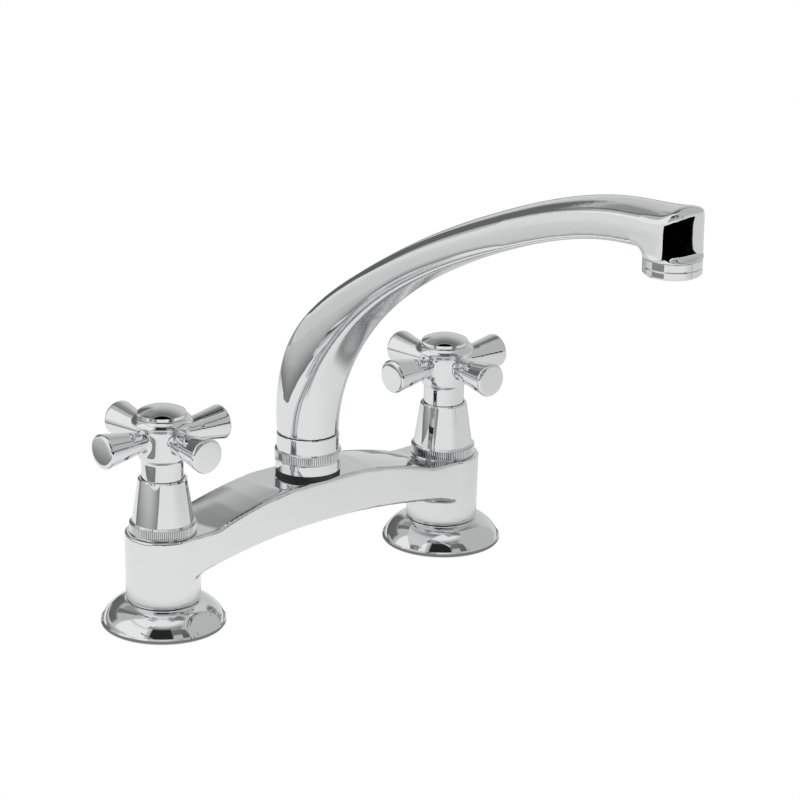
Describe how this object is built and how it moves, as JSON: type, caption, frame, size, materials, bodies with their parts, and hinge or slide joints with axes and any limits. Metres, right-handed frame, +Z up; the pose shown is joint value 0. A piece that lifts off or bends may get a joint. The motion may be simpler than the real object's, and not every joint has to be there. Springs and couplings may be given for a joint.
{
  "type": "kitchen faucet",
  "caption": "Deck-mounted bridge mixer: an arched cast body on domed flanges, cross handles that turn the water on, and a long curved swivel spout with an aerator.",
  "frame": {"origin": "on the deck's top face, midway between the inlet centres, under the spout's swivel axis", "axes": "+X along the bridge from the left post to the right post, -Y towards the front, where the spout points, +Z up"},
  "size_m": [0.2522, 0.294, 0.3104],
  "materials": {
    "chrome": "polished plate on cast brass",
    "brass": "turned",
    "rubber": "moulded, matt",
    "ceramic": "lapped",
    "steel": "stamped and turned stainless",
    "plastic": "moulded"
  },
  "bodies": {
    "base": {"bridge_body": "chrome", "spout_nut": "chrome", "nut_seal": "rubber", "escutcheon_left": "chrome", "escutcheon_right": "chrome", "deck_gasket_left": "rubber", "deck_gasket_right": "rubber", "inlet_shank_left": "brass", "inlet_shank_right": "brass", "clamp_washer_left": "steel", "clamp_washer_right": "steel", "lock_nut_left": "brass", "lock_nut_right": "brass", "cartridge_body_left": "brass", "cartridge_body_right": "brass", "seat_seal_left": "rubber", "seat_seal_right": "rubber", "fixed_disc_left": "ceramic", "fixed_disc_right": "ceramic", "bonnet_left": "chrome", "bonnet_right": "chrome"},
    "left_handle": {"handle_left": "chrome", "index_cap_left": "chrome", "handle_screw_left": "steel", "spindle_left": "brass", "moving_disc_left": "ceramic", "stem_o_ring_left": "rubber", "spindle_clip_left": "steel"},
    "right_handle": {"handle_right": "chrome", "index_cap_right": "chrome", "handle_screw_right": "steel", "spindle_right": "brass", "moving_disc_right": "ceramic", "stem_o_ring_right": "rubber", "spindle_clip_right": "steel"},
    "spout": {"spout": "chrome", "spout_stem": "brass", "spout_o_rings": "rubber", "split_ring": "steel", "aerator_shell": "chrome", "aerator_insert": "plastic", "aerator_washer": "rubber"}
  },
  "joints": [
    {"name": "left_handle_turn", "type": "hinge", "parent": "base", "child": "left_handle", "pos_m": [-0.09, 0, 0.0952], "axis": [0, 0, 1], "range_deg": [0, 90]},
    {"name": "right_handle_turn", "type": "hinge", "parent": "base", "child": "right_handle", "pos_m": [0.09, 0, 0.0952], "axis": [0, 0, 1], "range_deg": [-90, 0]},
    {"name": "spout_swivel", "type": "hinge", "parent": "base", "child": "spout", "pos_m": [0, 0, 0.0784], "axis": [0, 0, 1], "continuous": true}
  ]
}
